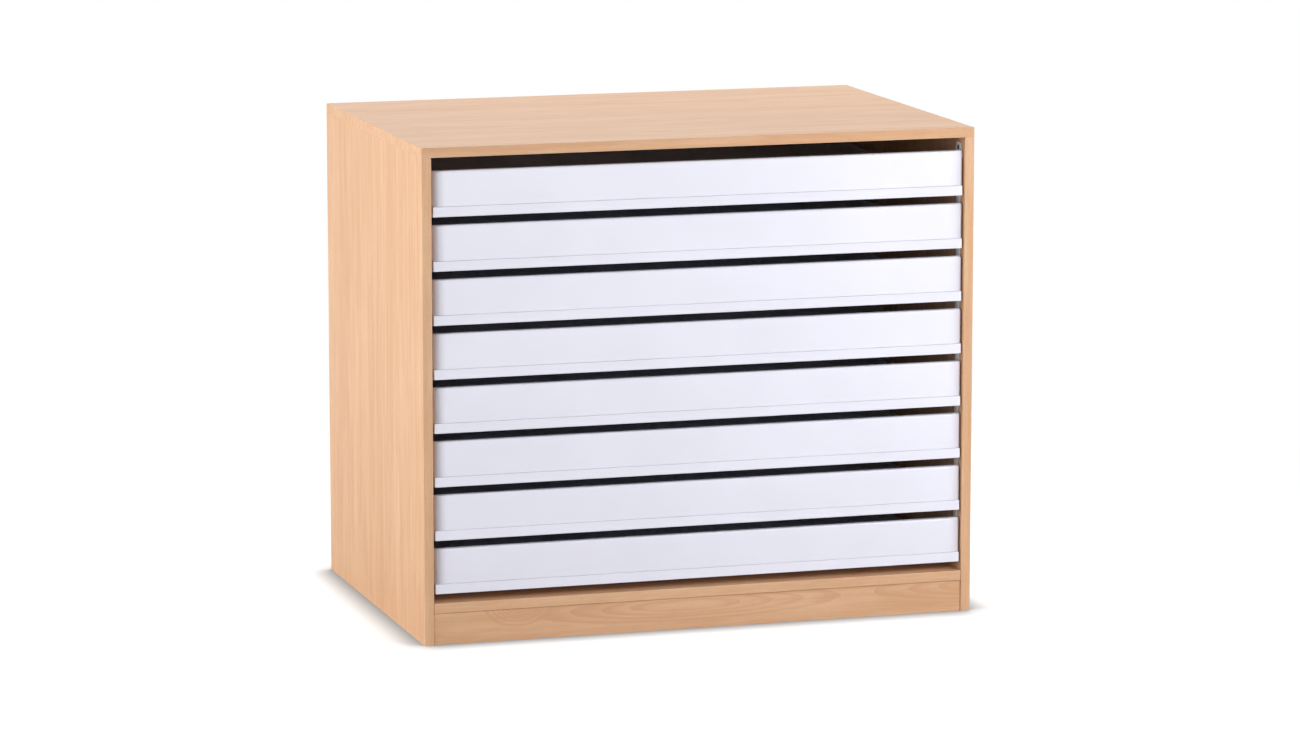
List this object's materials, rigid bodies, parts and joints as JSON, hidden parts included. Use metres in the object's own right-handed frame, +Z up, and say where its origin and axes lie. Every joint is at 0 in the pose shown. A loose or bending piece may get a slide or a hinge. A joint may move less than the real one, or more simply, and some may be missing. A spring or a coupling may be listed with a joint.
{
  "type": "paper storage cabinet",
  "caption": "Free-standing beech-decor cabinet with a stack of shallow white drawers that slide in steel channels, for keeping large sheets of paper flat.",
  "frame": {"origin": "middle of the cabinet's footprint, on the floor", "axes": "+X across the width to the right as seen from the front, +Y from the drawer fronts to the back, +Z up"},
  "size_m": [1.1, 0.75, 0.95],
  "materials": {
    "beech_board": "beech-decor melamine, satin",
    "beech_backing": "beech-decor foil, matt",
    "white_board": "white melamine with white edging, satin",
    "white_front": "white foil, smooth",
    "white_wall": "white foil, satin",
    "grey_painted_steel": "light-grey paint, satin",
    "zinc_screw": "zinc plated"
  },
  "bodies": {
    "cabinet": {"top_panel": "beech_board", "left_side_panel": "beech_board", "right_side_panel": "beech_board", "bottom_shelf": "beech_board", "front_plinth": "beech_board", "rear_plinth": "beech_board", "back_panel": "beech_backing", "left_runner_rack": "grey_painted_steel", "right_runner_rack": "grey_painted_steel", "left_front_upper_screw": "zinc_screw", "left_front_lower_screw": "zinc_screw", "left_rear_upper_screw": "zinc_screw", "left_rear_lower_screw": "zinc_screw", "right_front_upper_screw": "zinc_screw", "right_front_lower_screw": "zinc_screw", "right_rear_upper_screw": "zinc_screw", "right_rear_lower_screw": "zinc_screw"},
    "drawer_1": {"drawer_1_base": "white_board", "drawer_1_front": "white_front", "drawer_1_back_wall": "white_wall"},
    "drawer_2": {"drawer_2_base": "white_board", "drawer_2_front": "white_front", "drawer_2_back_wall": "white_wall"},
    "drawer_3": {"drawer_3_base": "white_board", "drawer_3_front": "white_front", "drawer_3_back_wall": "white_wall"},
    "drawer_4": {"drawer_4_base": "white_board", "drawer_4_front": "white_front", "drawer_4_back_wall": "white_wall"},
    "drawer_5": {"drawer_5_base": "white_board", "drawer_5_front": "white_front", "drawer_5_back_wall": "white_wall"},
    "drawer_6": {"drawer_6_base": "white_board", "drawer_6_front": "white_front", "drawer_6_back_wall": "white_wall"},
    "drawer_7": {"drawer_7_base": "white_board", "drawer_7_front": "white_front", "drawer_7_back_wall": "white_wall"},
    "drawer_8": {"drawer_8_base": "white_board", "drawer_8_front": "white_front", "drawer_8_back_wall": "white_wall"}
  },
  "joints": [
    {"name": "drawer_1_slide", "type": "slide", "parent": "cabinet", "child": "drawer_1", "axis": [0, -1, 0], "range_m": [0, 0.5]},
    {"name": "drawer_2_slide", "type": "slide", "parent": "cabinet", "child": "drawer_2", "axis": [0, -1, 0], "range_m": [0, 0.5]},
    {"name": "drawer_3_slide", "type": "slide", "parent": "cabinet", "child": "drawer_3", "axis": [0, -1, 0], "range_m": [0, 0.5]},
    {"name": "drawer_4_slide", "type": "slide", "parent": "cabinet", "child": "drawer_4", "axis": [0, -1, 0], "range_m": [0, 0.5]},
    {"name": "drawer_5_slide", "type": "slide", "parent": "cabinet", "child": "drawer_5", "axis": [0, -1, 0], "range_m": [0, 0.5]},
    {"name": "drawer_6_slide", "type": "slide", "parent": "cabinet", "child": "drawer_6", "axis": [0, -1, 0], "range_m": [0, 0.5]},
    {"name": "drawer_7_slide", "type": "slide", "parent": "cabinet", "child": "drawer_7", "axis": [0, -1, 0], "range_m": [0, 0.5]},
    {"name": "drawer_8_slide", "type": "slide", "parent": "cabinet", "child": "drawer_8", "axis": [0, -1, 0], "range_m": [0, 0.5]}
  ]
}
